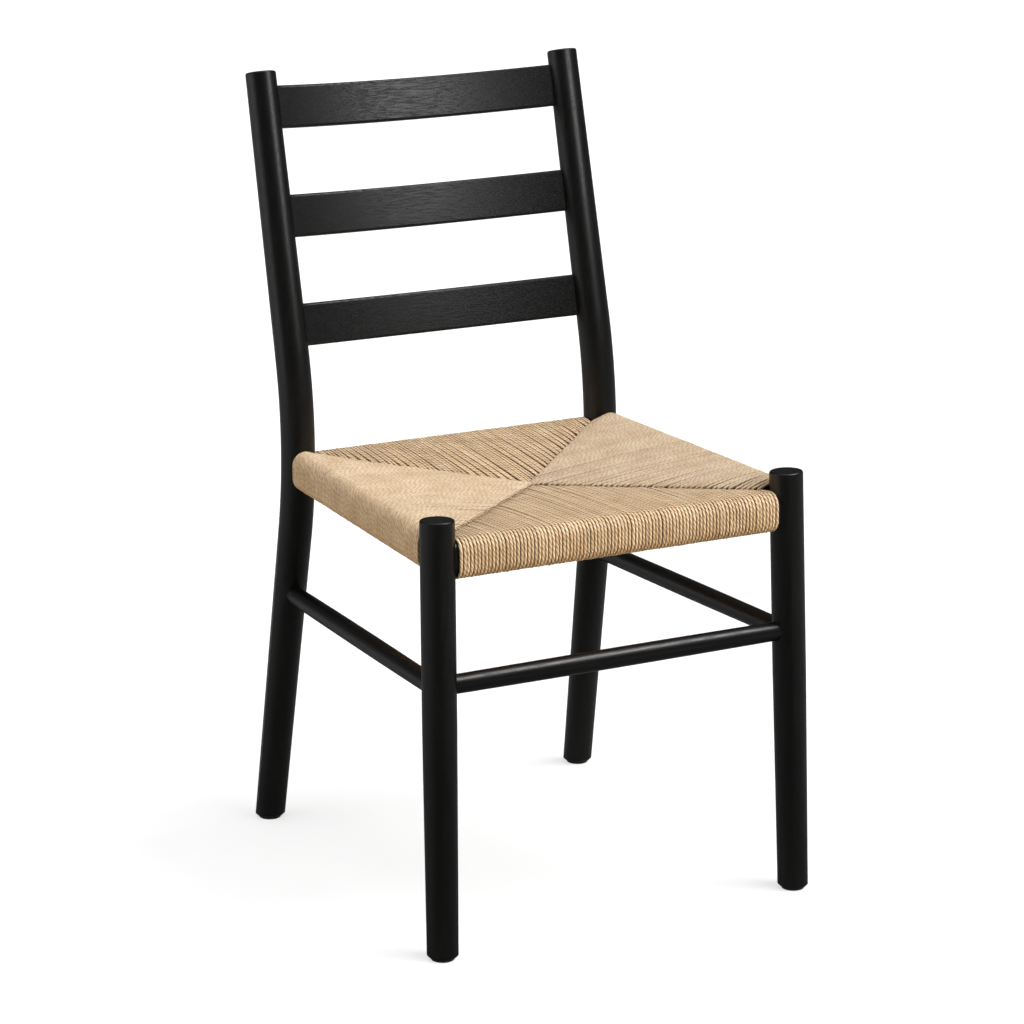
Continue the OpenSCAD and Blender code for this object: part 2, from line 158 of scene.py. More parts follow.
class ChairColours(bpy.types.PropertyGroup):
    """Colours of the chair's finishes, as sRGB hex values."""

    stain: bpy.props.StringProperty(
        name="Black stain", description="Wood stain", default="060606")
    stain_pore: bpy.props.StringProperty(
        name="Pores", description="Bottom of the wood's open pores", default="030303")
    stain_worn: bpy.props.StringProperty(
        name="Worn stain", description="Stain where it has rubbed thin", default="100f0f")
    cord_light: bpy.props.StringProperty(
        name="Cord, light", description="Palest paper cord", default="e9cfab")
    cord_dark: bpy.props.StringProperty(
        name="Cord, dark", description="Darkest paper cord", default="ccab81")
    # Painted shade: the cord's colour deep in its grooves, on its flanks and on the crossing sheet
    cord_painted_shade: bpy.props.StringProperty(
        name="Cord, grooves", description="Paper cord where no light gets in", default="5a3a1c")
    board: bpy.props.StringProperty(
        name="Pulp board", description="Palest fibres of the stuffing board", default="8d7454")
    board_dark: bpy.props.StringProperty(
        name="Pulp board, dark", description="Darkest fibres of the board", default="6f5a40")
    felt: bpy.props.StringProperty(
        name="Felt", description="Palest felt of the glides", default="2b2b2c")
    felt_dark: bpy.props.StringProperty(
        name="Felt, dark", description="Darkest felt of the glides", default="1a1a1b")
    steel: bpy.props.StringProperty(
        name="Tack steel", description="Blued steel of the tacks", default="5b6068")
    bounce: bpy.props.StringProperty(
        name="Floor bounce", description="Floor as the light sees it that falls on the chair",
        default="a89272")
    floor: bpy.props.StringProperty(
        name="Studio floor", description="Floor and backdrop", default="fdfdfd")


class ChairStage(bpy.types.PropertyGroup):
    """The camera and the lights."""

    azimuth: bpy.props.FloatProperty(
        name="Azimuth", description="Turn of the view from straight ahead",
        default=math.radians(-27.77), subtype="ANGLE")
    elevation: bpy.props.FloatProperty(
        name="Elevation", description="Height of the view above level",
        default=math.radians(15.58), subtype="ANGLE")
    distance: bpy.props.FloatProperty(
        name="Distance", description="From the camera to the point it looks at",
        default=3.8, min=1, max=20, unit="LENGTH")
    aim: bpy.props.FloatVectorProperty(
        name="Aim", description="Point that the camera looks at",
        default=(-0.032, -0.0639, 0.4182), unit="LENGTH")
    lens: bpy.props.FloatProperty(
        name="Lens", description="Focal length in millimetres", default=121.46, min=20, max=300)
    key: bpy.props.FloatProperty(
        name="Key", description="Strength of the key light", default=1.56, min=0)
    key_spread: bpy.props.FloatProperty(
        name="Key spread", description="Width of the key light as seen from the chair",
        default=math.radians(24), subtype="ANGLE")
    ambient: bpy.props.FloatProperty(
        name="Ambient", description="Brightness of the room's walls", default=0.26, min=0, max=5)
    overhead: bpy.props.FloatProperty(
        name="Overhead", description="Brightness of the soft ceiling light",
        default=1.2, min=0, max=20)
    front_fill: bpy.props.FloatProperty(
        name="Front fill", description="Brightness of the matt fill in front",
        default=5.2, min=0, max=20)
    left_fill: bpy.props.FloatProperty(
        name="Left fill", description="Brightness of the matt fill at the left",
        default=1.3, min=0, max=20)
    right_box: bpy.props.FloatProperty(
        name="Right box", description="Power of the soft box in front, at the right",
        default=3.4, min=0, max=50, unit="POWER")
    box_size: bpy.props.FloatProperty(
        name="Right box size", description="Diameter of the soft box at the right",
        default=0.42, min=0.05, max=2, unit="LENGTH")
    box_away: bpy.props.FloatProperty(
        name="Right box distance", description="From the right box to the point it faces",
        default=0.9, min=0.2, max=5, unit="LENGTH")
    left_box: bpy.props.FloatProperty(
        name="Left box", description="Brightness of the soft box at the left",
        default=1.6, min=0, max=20)
    dark_side: bpy.props.FloatProperty(
        name="Dark walls", description="Share of the room's brightness that reflections show",
        default=0.22, min=0, max=1)
    table: bpy.props.FloatProperty(
        name="Light table", description="Share of the floor's white that shines from below",
        default=0.6, min=0, max=1)
    floor_sheen: bpy.props.FloatProperty(
        name="Floor in reflections", description="Whiteness of the floor in glossy reflections",
        default=0.05, min=0, max=1)


# ------------------------------------------------------------------- helpers


def linear(code):
    """An sRGB hex value as linear colour with alpha."""
    parts = [int(code[i:i + 2], 16) / 255 for i in (0, 2, 4)]
    return [p / 12.92 if p <= 0.04045 else ((p + 0.055) / 1.055) ** 2.4 for p in parts] + [1.0]


def heading(azimuth, elevation):
    """Direction from the chair at an azimuth from straight ahead and an elevation."""
    a, e = math.radians(azimuth), math.radians(elevation)
    return Vector((math.sin(a) * math.cos(e), -math.cos(a) * math.cos(e), math.sin(e)))


def add_node(tree, kind, inputs=None, **settings):
    """A node with its settings, and its inputs as values or links."""
    made = tree.nodes.new(kind)
    for key, value in settings.items():
        setattr(made, key, value)
    for key, value in (inputs or {}).items():
        if isinstance(value, bpy.types.NodeSocket):
            tree.links.new(value, made.inputs[key])
        else:
            made.inputs[key].default_value = value
    return made


def blank_material(name):
    """An empty node material, and its tree."""
    made = bpy.data.materials.new(name)
    made.use_nodes = True
    made.node_tree.nodes.clear()
    return made, made.node_tree


def finish_material(tree, shader):
    """Joins the shader to the material's output."""
    add_node(tree, "ShaderNodeOutputMaterial", {"Surface": shader.outputs["BSDF"]})


def give(nodes, material):
    """Puts a material on every slot of these nodes of the frame."""
    for name in nodes:
        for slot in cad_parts[name].material_slots:
            slot.material = material


def deselect_all():
    """Leaves nothing selected and nothing active."""
    bpy.ops.object.select_all(action="DESELECT")
    bpy.context.view_layer.objects.active = None


# ----------------------------------------------------------------- materials


def stained_wood(name, stretch, relief):
    """Open-grained hardwood, turned and sanded, black stain under satin lacquer.

    The pores stay open, so they read as short dull dashes along the grain, and the
    stain lies a little thinner on the hard late wood between them.
    """
    colours = bpy.context.scene.chair_colours
    made, tree = blank_material(name)
    place = add_node(tree, "ShaderNodeTexCoord").outputs["Object"]
    along = add_node(tree, "ShaderNodeMapping", {"Vector": place, "Scale": stretch})
    # Late-wood bands about 5 mm apart
    bands = add_node(tree, "ShaderNodeTexNoise", {
        "Vector": along.outputs["Vector"], "Scale": 200, "Detail": 3, "Roughness": 0.55,
        "Distortion": 0.3})
    # Pores 1 mm wide: coarser than the real 0.3 mm, so that they show
    pores = add_node(tree, "ShaderNodeTexNoise", {
        "Vector": along.outputs["Vector"], "Scale": 900, "Detail": 3, "Roughness": 0.65})
    pore_edge = add_node(tree, "ShaderNodeMapRange", {
        "Value": pores.outputs["Fac"], "From Min": 0.34, "From Max": 0.52})
    tone = add_node(tree, "ShaderNodeMapRange", {
        "Value": bands.outputs["Fac"], "From Min": 0.35, "From Max": 0.75})
    stain = add_node(tree, "ShaderNodeMix", {
        "Factor": tone.outputs["Result"], "A": linear(colours.stain),
        "B": linear(colours.stain_worn)}, data_type="RGBA")
    in_pores = add_node(tree, "ShaderNodeMix", {
        "Factor": pore_edge.outputs["Result"], "A": linear(colours.stain_pore),
        "B": stain.outputs["Result"]}, data_type="RGBA")
    gloss = add_node(tree, "ShaderNodeMapRange", {
        "Value": pore_edge.outputs["Result"], "To Min": 0.5, "To Max": 0.34})
    dents = add_node(tree, "ShaderNodeBump", {
        "Height": pore_edge.outputs["Result"], "Strength": relief, "Distance": 0.12 * MM})
    shader = add_node(tree, "ShaderNodeBsdfPrincipled", {
        "Base Color": in_pores.outputs["Result"], "Roughness": gloss.outputs["Result"],
        "Normal": dents.outputs["Normal"], "IOR": 1.5, "Specular IOR Level": 0.4})
    finish_material(tree, shader)
    return made


def paper_cord():
    """Twisted kraft paper cord, three plies, unbleached and lightly waxed.

    Each ply is a twisted strip of paper, so the cord shows slanting ridges with fine creases along
    them. Shade is painted into the grooves and where neighbouring cords press together.
    """
    colours = bpy.context.scene.chair_colours
    sizes = bpy.context.scene.chair_cord
    made, tree = blank_material("twisted_paper_cord")
    cord_map = add_node(tree, "ShaderNodeUVMap", uv_map="cord")
    split = add_node(tree, "ShaderNodeSeparateXYZ", {"Vector": cord_map.outputs["UV"]})
    # U is the length along the cord in metres, V the share of the way round it
    turns = add_node(tree, "ShaderNodeMath", {
        0: split.outputs["X"], 1: sizes.lay}, operation="DIVIDE")
    # The twist tightens and slackens along the cord, over about 30 mm
    slack = add_node(tree, "ShaderNodeTexNoise", {
        "W": split.outputs["X"], "Scale": 35, "Detail": 1}, noise_dimensions="1D")
    uneven = add_node(tree, "ShaderNodeMath", {
        0: slack.outputs["Fac"], 1: 1.6, 2: turns.outputs["Value"]}, operation="MULTIPLY_ADD")
    plies = add_node(tree, "ShaderNodeMath", {
        0: split.outputs["Y"], 1: PLIES, 2: uneven.outputs["Value"]}, operation="MULTIPLY_ADD")
    angle = add_node(tree, "ShaderNodeMath", {
        0: plies.outputs["Value"], 1: 2 * math.pi}, operation="MULTIPLY")
    wave = add_node(tree, "ShaderNodeMath", {0: angle.outputs["Value"]}, operation="SINE")
    ridge = add_node(tree, "ShaderNodeMapRange", {
        "Value": wave.outputs["Value"], "From Min": -1.0, "From Max": 1.0})
    groove = add_node(tree, "ShaderNodeMath", {
        0: ridge.outputs["Result"], 1: 0.5}, operation="POWER")
    # Creases of the paper strip, about 0.5 mm apart, running with the ply
    strip = add_node(tree, "ShaderNodeCombineXYZ", {
        "X": plies.outputs["Value"], "Y": turns.outputs["Value"]})
    crease_map = add_node(tree, "ShaderNodeMapping", {
        "Vector": strip.outputs["Vector"], "Scale": (7.0, 0.5, 1.0)})
    creases = add_node(tree, "ShaderNodeTexNoise", {
        "Vector": crease_map.outputs["Vector"], "Scale": 1.0, "Detail": 3, "Roughness": 0.6})
    # Patches of paler and darker paper, from 25 mm down to 2 mm across
    patches = add_node(tree, "ShaderNodeTexNoise", {
        "Vector": add_node(tree, "ShaderNodeTexCoord").outputs["Object"], "Scale": 40,
        "Detail": 4, "Roughness": 0.75})
    worn = add_node(tree, "ShaderNodeMath", {
        0: creases.outputs["Fac"], 1: 0.5, 2: patches.outputs["Fac"]}, operation="MULTIPLY_ADD")
    tone = add_node(tree, "ShaderNodeMapRange", {
        "Value": worn.outputs["Value"], "From Min": 0.55, "From Max": 0.95})
    mottled = add_node(tree, "ShaderNodeMix", {
        "Factor": tone.outputs["Result"], "A": linear(colours.cord_dark),
        "B": linear(colours.cord_light)}, data_type="RGBA")
    # Each cord has its own tone, strayed at random, times the painted shade of its field
    strand = add_node(tree, "ShaderNodeAttribute", attribute_name="tone")
    paper = add_node(tree, "ShaderNodeMix", {
        "Factor": 1.0, "A": mottled.outputs["Result"], "B": strand.outputs["Color"]},
        data_type="RGBA", blend_type="MULTIPLY")
    # Painted shade in the grooves between the plies, and on the flanks where a cord meets its
    # neighbours. The twist attribute says how strongly a cord's plies show, in the bump and in
    # this painted shade
    twist = add_node(tree, "ShaderNodeAttribute", attribute_name="twist").outputs["Fac"]
    darkest = add_node(tree, "ShaderNodeMapRange", {
        "Value": twist, "To Min": 1.0, "To Max": 0.5})
    shade = add_node(tree, "ShaderNodeMapRange", {
        "Value": groove.outputs["Value"], "To Min": darkest.outputs["Result"], "To Max": 1.0})
    around = add_node(tree, "ShaderNodeMath", {
        0: split.outputs["Y"], 1: 2 * math.pi}, operation="MULTIPLY")
    upward = add_node(tree, "ShaderNodeMath", {0: around.outputs["Value"]}, operation="SINE")
    flank = add_node(tree, "ShaderNodeMath", {0: upward.outputs["Value"]}, operation="ABSOLUTE")
    # A ridge that reaches the flank touches the next cord, so the painted shade is left off it
    # there
    touching = add_node(tree, "ShaderNodeMath", {
        0: ridge.outputs["Result"], 1: 0.45, 2: flank.outputs["Value"]}, operation="MULTIPLY_ADD")
    flank_range = add_node(tree, "ShaderNodeMapRange", {
        "Value": touching.outputs["Value"], "From Min": 0.1, "From Max": 1.1, "To Min": 0.12,
        "To Max": 1.0})
    dark = add_node(tree, "ShaderNodeMath", {
        0: shade.outputs["Result"], 1: flank_range.outputs["Result"]}, operation="MULTIPLY")
    coloured = add_node(tree, "ShaderNodeMix", {
        "Factor": dark.outputs["Value"], "A": linear(colours.cord_painted_shade),
        "B": paper.outputs["Result"]}, data_type="RGBA")
    height = add_node(tree, "ShaderNodeMath", {
        0: creases.outputs["Fac"], 1: 0.3, 2: groove.outputs["Value"]}, operation="MULTIPLY_ADD")
    relief = add_node(tree, "ShaderNodeBump", {
        "Height": height.outputs["Value"], "Strength": twist, "Distance": 0.5 * MM})
    shader = add_node(tree, "ShaderNodeBsdfPrincipled", {
        "Base Color": coloured.outputs["Result"], "Roughness": 0.42, "IOR": 1.5,
        "Normal": relief.outputs["Normal"], "Sheen Weight": 0.1, "Sheen Roughness": 0.5})
    finish_material(tree, shader)
    return made


def painted_shade_cord():
    """The paper cord's colour where it crosses in the deep shade between the two layers: painted
    shade.
    """
    made, tree = blank_material("paper_cord_painted_shade")
    shader = add_node(tree, "ShaderNodeBsdfPrincipled", {
        "Base Color": linear(bpy.context.scene.chair_colours.cord_painted_shade), "Roughness": 0.9})
    finish_material(tree, shader)
    return made


def pulp_board():
    """Grey-brown pulp board, pressed: a dull fibrous surface with flecks."""
    colours = bpy.context.scene.chair_colours
    made, tree = blank_material("pressed_pulp_board")
    place = add_node(tree, "ShaderNodeTexCoord").outputs["Object"]
    # Fibre clumps about 3 mm across
    fibres = add_node(tree, "ShaderNodeTexNoise", {"Vector": place, "Scale": 330, "Detail": 5})
    tone = add_node(tree, "ShaderNodeMix", {
        "Factor": fibres.outputs["Fac"], "A": linear(colours.board_dark),
        "B": linear(colours.board)}, data_type="RGBA")
    relief = add_node(tree, "ShaderNodeBump", {
        "Height": fibres.outputs["Fac"], "Strength": 0.3, "Distance": 0.2 * MM})
    shader = add_node(tree, "ShaderNodeBsdfPrincipled", {
        "Base Color": tone.outputs["Result"], "Roughness": 0.9,
        "Normal": relief.outputs["Normal"]})
    finish_material(tree, shader)
    return made


def wool_felt():
    """Pressed wool felt: a matt, slightly fluffy charcoal surface."""
    colours = bpy.context.scene.chair_colours
    made, tree = blank_material("pressed_wool_felt")
    place = add_node(tree, "ShaderNodeTexCoord").outputs["Object"]
    # Tufts about 1 mm across
    tufts = add_node(tree, "ShaderNodeTexNoise", {"Vector": place, "Scale": 900, "Detail": 4})
    tone = add_node(tree, "ShaderNodeMix", {
        "Factor": tufts.outputs["Fac"], "A": linear(colours.felt_dark),
        "B": linear(colours.felt)}, data_type="RGBA")
    relief = add_node(tree, "ShaderNodeBump", {
        "Height": tufts.outputs["Fac"], "Strength": 0.6, "Distance": 0.3 * MM})
    shader = add_node(tree, "ShaderNodeBsdfPrincipled", {
        "Base Color": tone.outputs["Result"], "Roughness": 0.95, "Sheen Weight": 0.4,
        "Normal": relief.outputs["Normal"]})
    finish_material(tree, shader)
    return made


def blued_steel():
    """Blued steel, cold-headed: dark satin metal with faint drawing marks."""
    made, tree = blank_material("blued_steel_tack")
    place = add_node(tree, "ShaderNodeTexCoord").outputs["Object"]
    # Marks about 0.7 mm across
    marks = add_node(tree, "ShaderNodeTexNoise", {"Vector": place, "Scale": 1500, "Detail": 2})
    rough = add_node(tree, "ShaderNodeMapRange", {
        "Value": marks.outputs["Fac"], "To Min": 0.3, "To Max": 0.5})
    shader = add_node(tree, "ShaderNodeBsdfPrincipled", {
        "Base Color": linear(bpy.context.scene.chair_colours.steel), "Metallic": 1.0,
        "Roughness": rough.outputs["Result"]})
    finish_material(tree, shader)
    return made


def studio_paper():
    """Seamless white studio paper, matt, on a light table that softens the shadows.

    The camera sees it white. The chair sees it darker, as if flagged off.
    """
    stage = bpy.context.scene.chair_stage
    colours = bpy.context.scene.chair_colours
    made, tree = blank_material("studio_paper")
    path = add_node(tree, "ShaderNodeLightPath")
    lit, shining = ([c * share for c in linear(colours.floor)[:3]] + [1.0]
                    for share in (1 - stage.table, stage.table))
    # The floor is lit behind the chair and at its sides, as the view has them, and
    # flagged off before it
    spot = add_node(tree, "ShaderNodeNewGeometry").outputs["Position"]
    turned = math.degrees(stage.azimuth)
    behind, beside = (add_node(tree, "ShaderNodeVectorMath", {
        0: spot, 1: heading(turned + quarter, 0)}, operation="DOT_PRODUCT").outputs["Value"]
        for quarter in (180, 90))
    either = add_node(tree, "ShaderNodeMath", {0: beside}, operation="ABSOLUTE")
    at_back, at_sides = (add_node(tree, "ShaderNodeMapRange", {
        "Value": value, "From Min": near, "From Max": far}, interpolation_type="SMOOTHSTEP")
        for value, near, far in ((behind, -0.8, 0.5), (either.outputs["Value"], 0.45, 1.2)))
    brighter = add_node(tree, "ShaderNodeMath", {
        0: at_back.outputs["Result"], 1: at_sides.outputs["Result"]}, operation="MAXIMUM")
    sheen = add_node(tree, "ShaderNodeMapRange", {
        "Value": brighter.outputs["Value"], "To Min": stage.floor_sheen,
        "To Max": stage.floor_sheen * SWEEP_GAIN})
    bounced = add_node(tree, "ShaderNodeMix", {
        "Factor": path.outputs["Is Glossy Ray"], "A": linear(colours.bounce),
        "B": sheen.outputs["Result"]}, data_type="RGBA")
    seen = add_node(tree, "ShaderNodeMix", {
        "Factor": path.outputs["Is Camera Ray"], "A": bounced.outputs["Result"], "B": lit},
        data_type="RGBA")
    shader = add_node(tree, "ShaderNodeBsdfPrincipled", {
        "Base Color": seen.outputs["Result"], "Roughness": 0.9, "Specular IOR Level": 0.0,
        "Emission Color": shining, "Emission Strength": path.outputs["Is Camera Ray"]})
    finish_material(tree, shader)
    return made


def soft_room():
    """A dim room that the camera sees as white.

    It has a soft ceiling light, a soft box at the left, and two fills that light matt
    surfaces without showing in glossy ones.
    """
    stage = bpy.context.scene.chair_stage
    world = bpy.data.worlds.new("soft_room")
    world.use_nodes = True
    tree = world.node_tree
    tree.nodes.clear()
    toward = add_node(tree, "ShaderNodeTexCoord").outputs["Generated"]
    path = add_node(tree, "ShaderNodeLightPath")
    light = add_node(tree, "ShaderNodeMapRange", {
        "Value": path.outputs["Is Glossy Ray"], "To Min": stage.ambient,
        "To Max": stage.ambient * stage.dark_side}).outputs["Result"]
    front_fill, left_fill = (add_node(tree, "ShaderNodeMapRange", {
        "Value": path.outputs["Is Diffuse Ray"], "To Max": power}).outputs["Result"]
        for power in (stage.front_fill, stage.left_fill))
    # Each light's direction, and the cosines at which it begins and is full
    for direction, begins, full, power in (
            (Vector((0, 0, 1)), 0.75, 0.97, stage.overhead),
            (heading(*FRONT_FILL_AT), 0.8, 0.995, front_fill),
            (heading(*LEFT_FILL_AT), 0.4, 0.95, left_fill),
            (heading(*LEFT_BOX_AT), 0.8, 0.97, stage.left_box)):
        facing = add_node(tree, "ShaderNodeVectorMath", {0: toward, 1: direction},
                          operation="DOT_PRODUCT")
        glow = add_node(tree, "ShaderNodeMapRange", {
            "Value": facing.outputs["Value"], "From Min": begins, "From Max": full,
            "To Max": power}, interpolation_type="SMOOTHSTEP")
        light = add_node(tree, "ShaderNodeMath", {0: light, 1: glow.outputs["Result"]},
                         operation="ADD").outputs["Value"]
    seen = add_node(tree, "ShaderNodeMix", {
        "Factor": path.outputs["Is Camera Ray"], "A": light, "B": 1.0}, data_type="FLOAT")
    back = add_node(tree, "ShaderNodeBackground", {
        "Color": (1, 1, 1, 1), "Strength": seen.outputs["Result"]})
    add_node(tree, "ShaderNodeOutputWorld", {"Surface": back.outputs["Background"]})
    bpy.context.scene.world = world


# --------------------------------------------------------------- the weaving


class Seat:
    """The seat frame's geometry, read from the rails."""

    def __init__(self):
        sizes = bpy.context.scene.chair_cord
        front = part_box("front_seat_rail")
        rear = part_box("rear_seat_rail")
        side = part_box("right_seat_rail")
        self.half_front = front[1].x + TENON_GAP
        self.half_rear = rear[1].x + TENON_GAP
        self.y_front = (front[0].y + front[1].y) / 2
        self.y_rear = (rear[0].y + rear[1].y) / 2
        self.y_middle = (self.y_front + self.y_rear) / 2
        self.z_front = (front[0].z + front[1].z) / 2
        self.z_side = (side[0].z + side[1].z) / 2
        self.rail_r = (front[1].y - front[0].y) / 2
        self.edge = (front[1].z - front[0].z) / 2 - self.rail_r
        self.cord_r = self.rail_r + sizes.diameter / 2
        self.top = side[1].z + sizes.layer - sizes.dish - sizes.diameter / 2
        self.bottom = self.top - sizes.middle + sizes.diameter

    def half_width(self, y):
        """Distance from the middle line to the side rails' axis lines at y."""
        share = (y - self.y_front) / (self.y_rear - self.y_front)
        return self.half_front + (self.half_rear - self.half_front) * share

    def seam_half(self, y):
        """Distance from the middle line to the seams at y."""
        if y < self.y_middle:
            return self.half_front * (self.y_middle - y) / (self.y_middle - self.y_front)
        return self.half_rear * (y - self.y_middle) / (self.y_rear - self.y_middle)

    def seam_depth(self, x, rear):
        """Distance from the front or rear rail's axis line to the seams at x."""
        half = self.half_rear if rear else self.half_front
        y_rail = self.y_rear if rear else self.y_front
        return abs(self.y_middle - y_rail) * (1 - abs(x) / half)


def slope_to(u, v, r):
    """Slope of a line that leaves a rounded edge of radius r for a point u in, v down."""
    return math.atan2(v, u) + math.asin(r / math.hypot(u, v))


def height_at(slope, r, u):
    """Height over the edge's centre, u in, of the line that leaves the edge at a slope."""
    return r * math.cos(slope) - (u - r * math.sin(slope)) * math.tan(slope)


def drop_to_middle(seat, rail_z, low):
    """How far the middle of the seat lies inward of a rail's rounded edge, in height."""
    return seat.bottom - rail_z + seat.edge if low else rail_z + seat.edge - seat.top


def layer_points(seat, drop, depth, start, under):
    """One layer's cord from its seam to the outside of the rail, as (in, up) points.

    The cord heads for a point depth in and drop down. Its seam lies start in. There an
    under cord sinks gently below the field it meets, and an over cord turns down short.
    """
    sizes = bpy.context.scene.chair_cord
    r, d = seat.cord_r, sizes.diameter
    slope = slope_to(depth, drop, r)
    ends = UNDER_END if under else OVER_END
    points = [(start + ahead * d, height_at(slope, r, start + ahead * d) - sink * d)
              for ahead, sink in ends]
    first = start + ends[-1][0] * d - d / 2
    span = first - r * math.sin(slope)
    steps = max(0, round(span / (4 * d)))
    for i in range(steps):
        share = i / steps
        u = first - span * share
        rise = sizes.crown * math.sin(math.pi * share) * min(1.0, span / depth)
        points.append((u, height_at(slope, r, u) + rise))
    turn_from = math.pi / 2 - slope
    for i in range(TURN_STEPS):
        a = turn_from + (math.pi - turn_from) * i / (TURN_STEPS - 1)
        points.append((r * math.cos(a), r * math.sin(a)))
    return [(u, v + seat.edge) for u, v in points]


def smooth_path(points, step):
    """The points joined by a smooth curve and spaced no further than step apart."""
    path = [points[0]]
    count = len(points)
    for i in range(count - 1):
        p0 = points[max(i - 1, 0)]
        p1, p2 = points[i], points[i + 1]
        p3 = points[min(i + 2, count - 1)]
        gap = (p2 - p1).length
        pieces = max(1, math.ceil(gap / step))
        m1 = (p2 - p0) * (gap / max((p2 - p1).length + (p1 - p0).length, 1e-9))
        m2 = (p3 - p1) * (gap / max((p3 - p2).length + (p2 - p1).length, 1e-9))
        for k in range(1, pieces + 1):
            t = k / pieces
            a = 2 * t ** 3 - 3 * t ** 2 + 1
            b = t ** 3 - 2 * t ** 2 + t
            c = -2 * t ** 3 + 3 * t ** 2
            d = t ** 3 - t ** 2
            path.append(p1 * a + m1 * b + p2 * c + m2 * d)
    return path


def tube(path, radius, sides, across, slim):
    """Rings of points along a path, and the lengths along it.

    across is the direction that stays level with the rail, so that no ring twists. The
    ends are drawn slimmer by the share slim, where the cords are pulled tight.
    """
    rings, lengths, far = [], [], 0.0
    whole = sum((b - a).length for a, b in zip(path, path[1:]))
    for i, p in enumerate(path):
        ahead = path[min(i + 1, len(path) - 1)] - path[max(i - 1, 0)]
        ahead.normalize()
        side = (across - ahead * across.dot(ahead)).normalized()
        up = ahead.cross(side)
        far += (p - path[i - 1]).length if i else 0.0
        lengths.append(far)
        r = radius * (1 - slim * max(0.0, 1 - min(far, whole - far) / SLIM_L))
        rings.append([
            p + (side * math.cos(2 * math.pi * k / sides) + up * math.sin(2 * math.pi * k / sides))
            * r for k in range(sides)])
    return rings, lengths


def cord_mesh(name, strands):
    """One mesh of many cords: each strand is (path, radius, across, slim, looks, offset).

    looks are its tone, which holds its field's painted shade, and twist, and offset shifts its map
    along the cord, in metres.
    """
    sides = CORD_SIDES
    verts, faces, map_u, all_looks = [], [], [], []
    for path, radius, across, slim, looks, offset in strands:
        base = len(verts)
        rings, lengths = tube(path, radius, sides, across, slim)
        for ring in rings:
            verts.extend(ring)
            all_looks.extend([looks] * sides)
        for i in range(len(rings) - 1):
            for k in range(sides):
                a = base + i * sides + k
                b = base + i * sides + (k + 1) % sides
                faces.append((a, b, b + sides, a + sides))
                v0, v1 = k / sides, (k + 1) / sides
                u0, u1 = lengths[i] + offset, lengths[i + 1] + offset
                map_u.extend(((u0, v0), (u0, v1), (u1, v1), (u1, v0)))
        last = base + (len(rings) - 1) * sides
        for first, order in ((base, range(sides - 1, -1, -1)), (last, range(sides))):
            faces.append(tuple(first + k for k in order))
            map_u.extend([(offset, 0.0)] * sides)
    mesh = bpy.data.meshes.new(name)
    mesh.from_pydata(verts, [], faces)
    layer = mesh.uv_layers.new(name="cord")
    layer.data.foreach_set("uv", [value for pair in map_u for value in pair])
    for i, look in enumerate(("tone", "twist")):
        attribute = mesh.attributes.new(look, "FLOAT", "POINT")
        attribute.data.foreach_set("value", [looks[i] for looks in all_looks])
    mesh.polygons.foreach_set("use_smooth", [True] * len(faces))
    mesh.update()
    made = bpy.data.objects.new(name, mesh)
    bpy.context.collection.objects.link(made)
    return made


def side_flat(seat, at):
    """Path of a side cord at y = at, as (in, up) points, and where its seam lies.

    The side fields lie over the others: their cords come down to the seam just above
    the front or rear field there.
    """
    sizes = bpy.context.scene.chair_cord
    start = seat.half_width(at) - seat.seam_half(at)
    y_rail = seat.y_front if at < seat.y_middle else seat.y_rear
    depth = abs(seat.y_middle - y_rail)
    to_rail = abs(at - y_rail)
    lift = sizes.diameter * (SEAM_LIFT - MIDDLE_SINK * to_rail / depth)
    step = seat.z_side - seat.z_front
    layers = []
    for low in (False, True):
        slope = slope_to(depth, drop_to_middle(seat, seat.z_front, low), seat.cord_r)
        meets = seat.edge + height_at(slope, seat.cord_r, to_rail) + lift
        drop = seat.edge - meets + (-step if low else step)
        layers.append(layer_points(seat, drop, start, start, False))
    return layers[0] + [(u, -v) for u, v in reversed(layers[1])], start


def cross_flat(seat, at, rear):
    """Path of a front or rear cord at x = at, as (in, up) points, and its seam's place."""
    depth = abs(seat.y_middle - (seat.y_rear if rear else seat.y_front))
    start = seat.seam_depth(at, rear)
    upper, lower = (
        layer_points(seat, drop_to_middle(seat, seat.z_front, low), depth, start, True)
        for low in (False, True))
    return upper + [(u, -v) for u, v in reversed(lower)], start


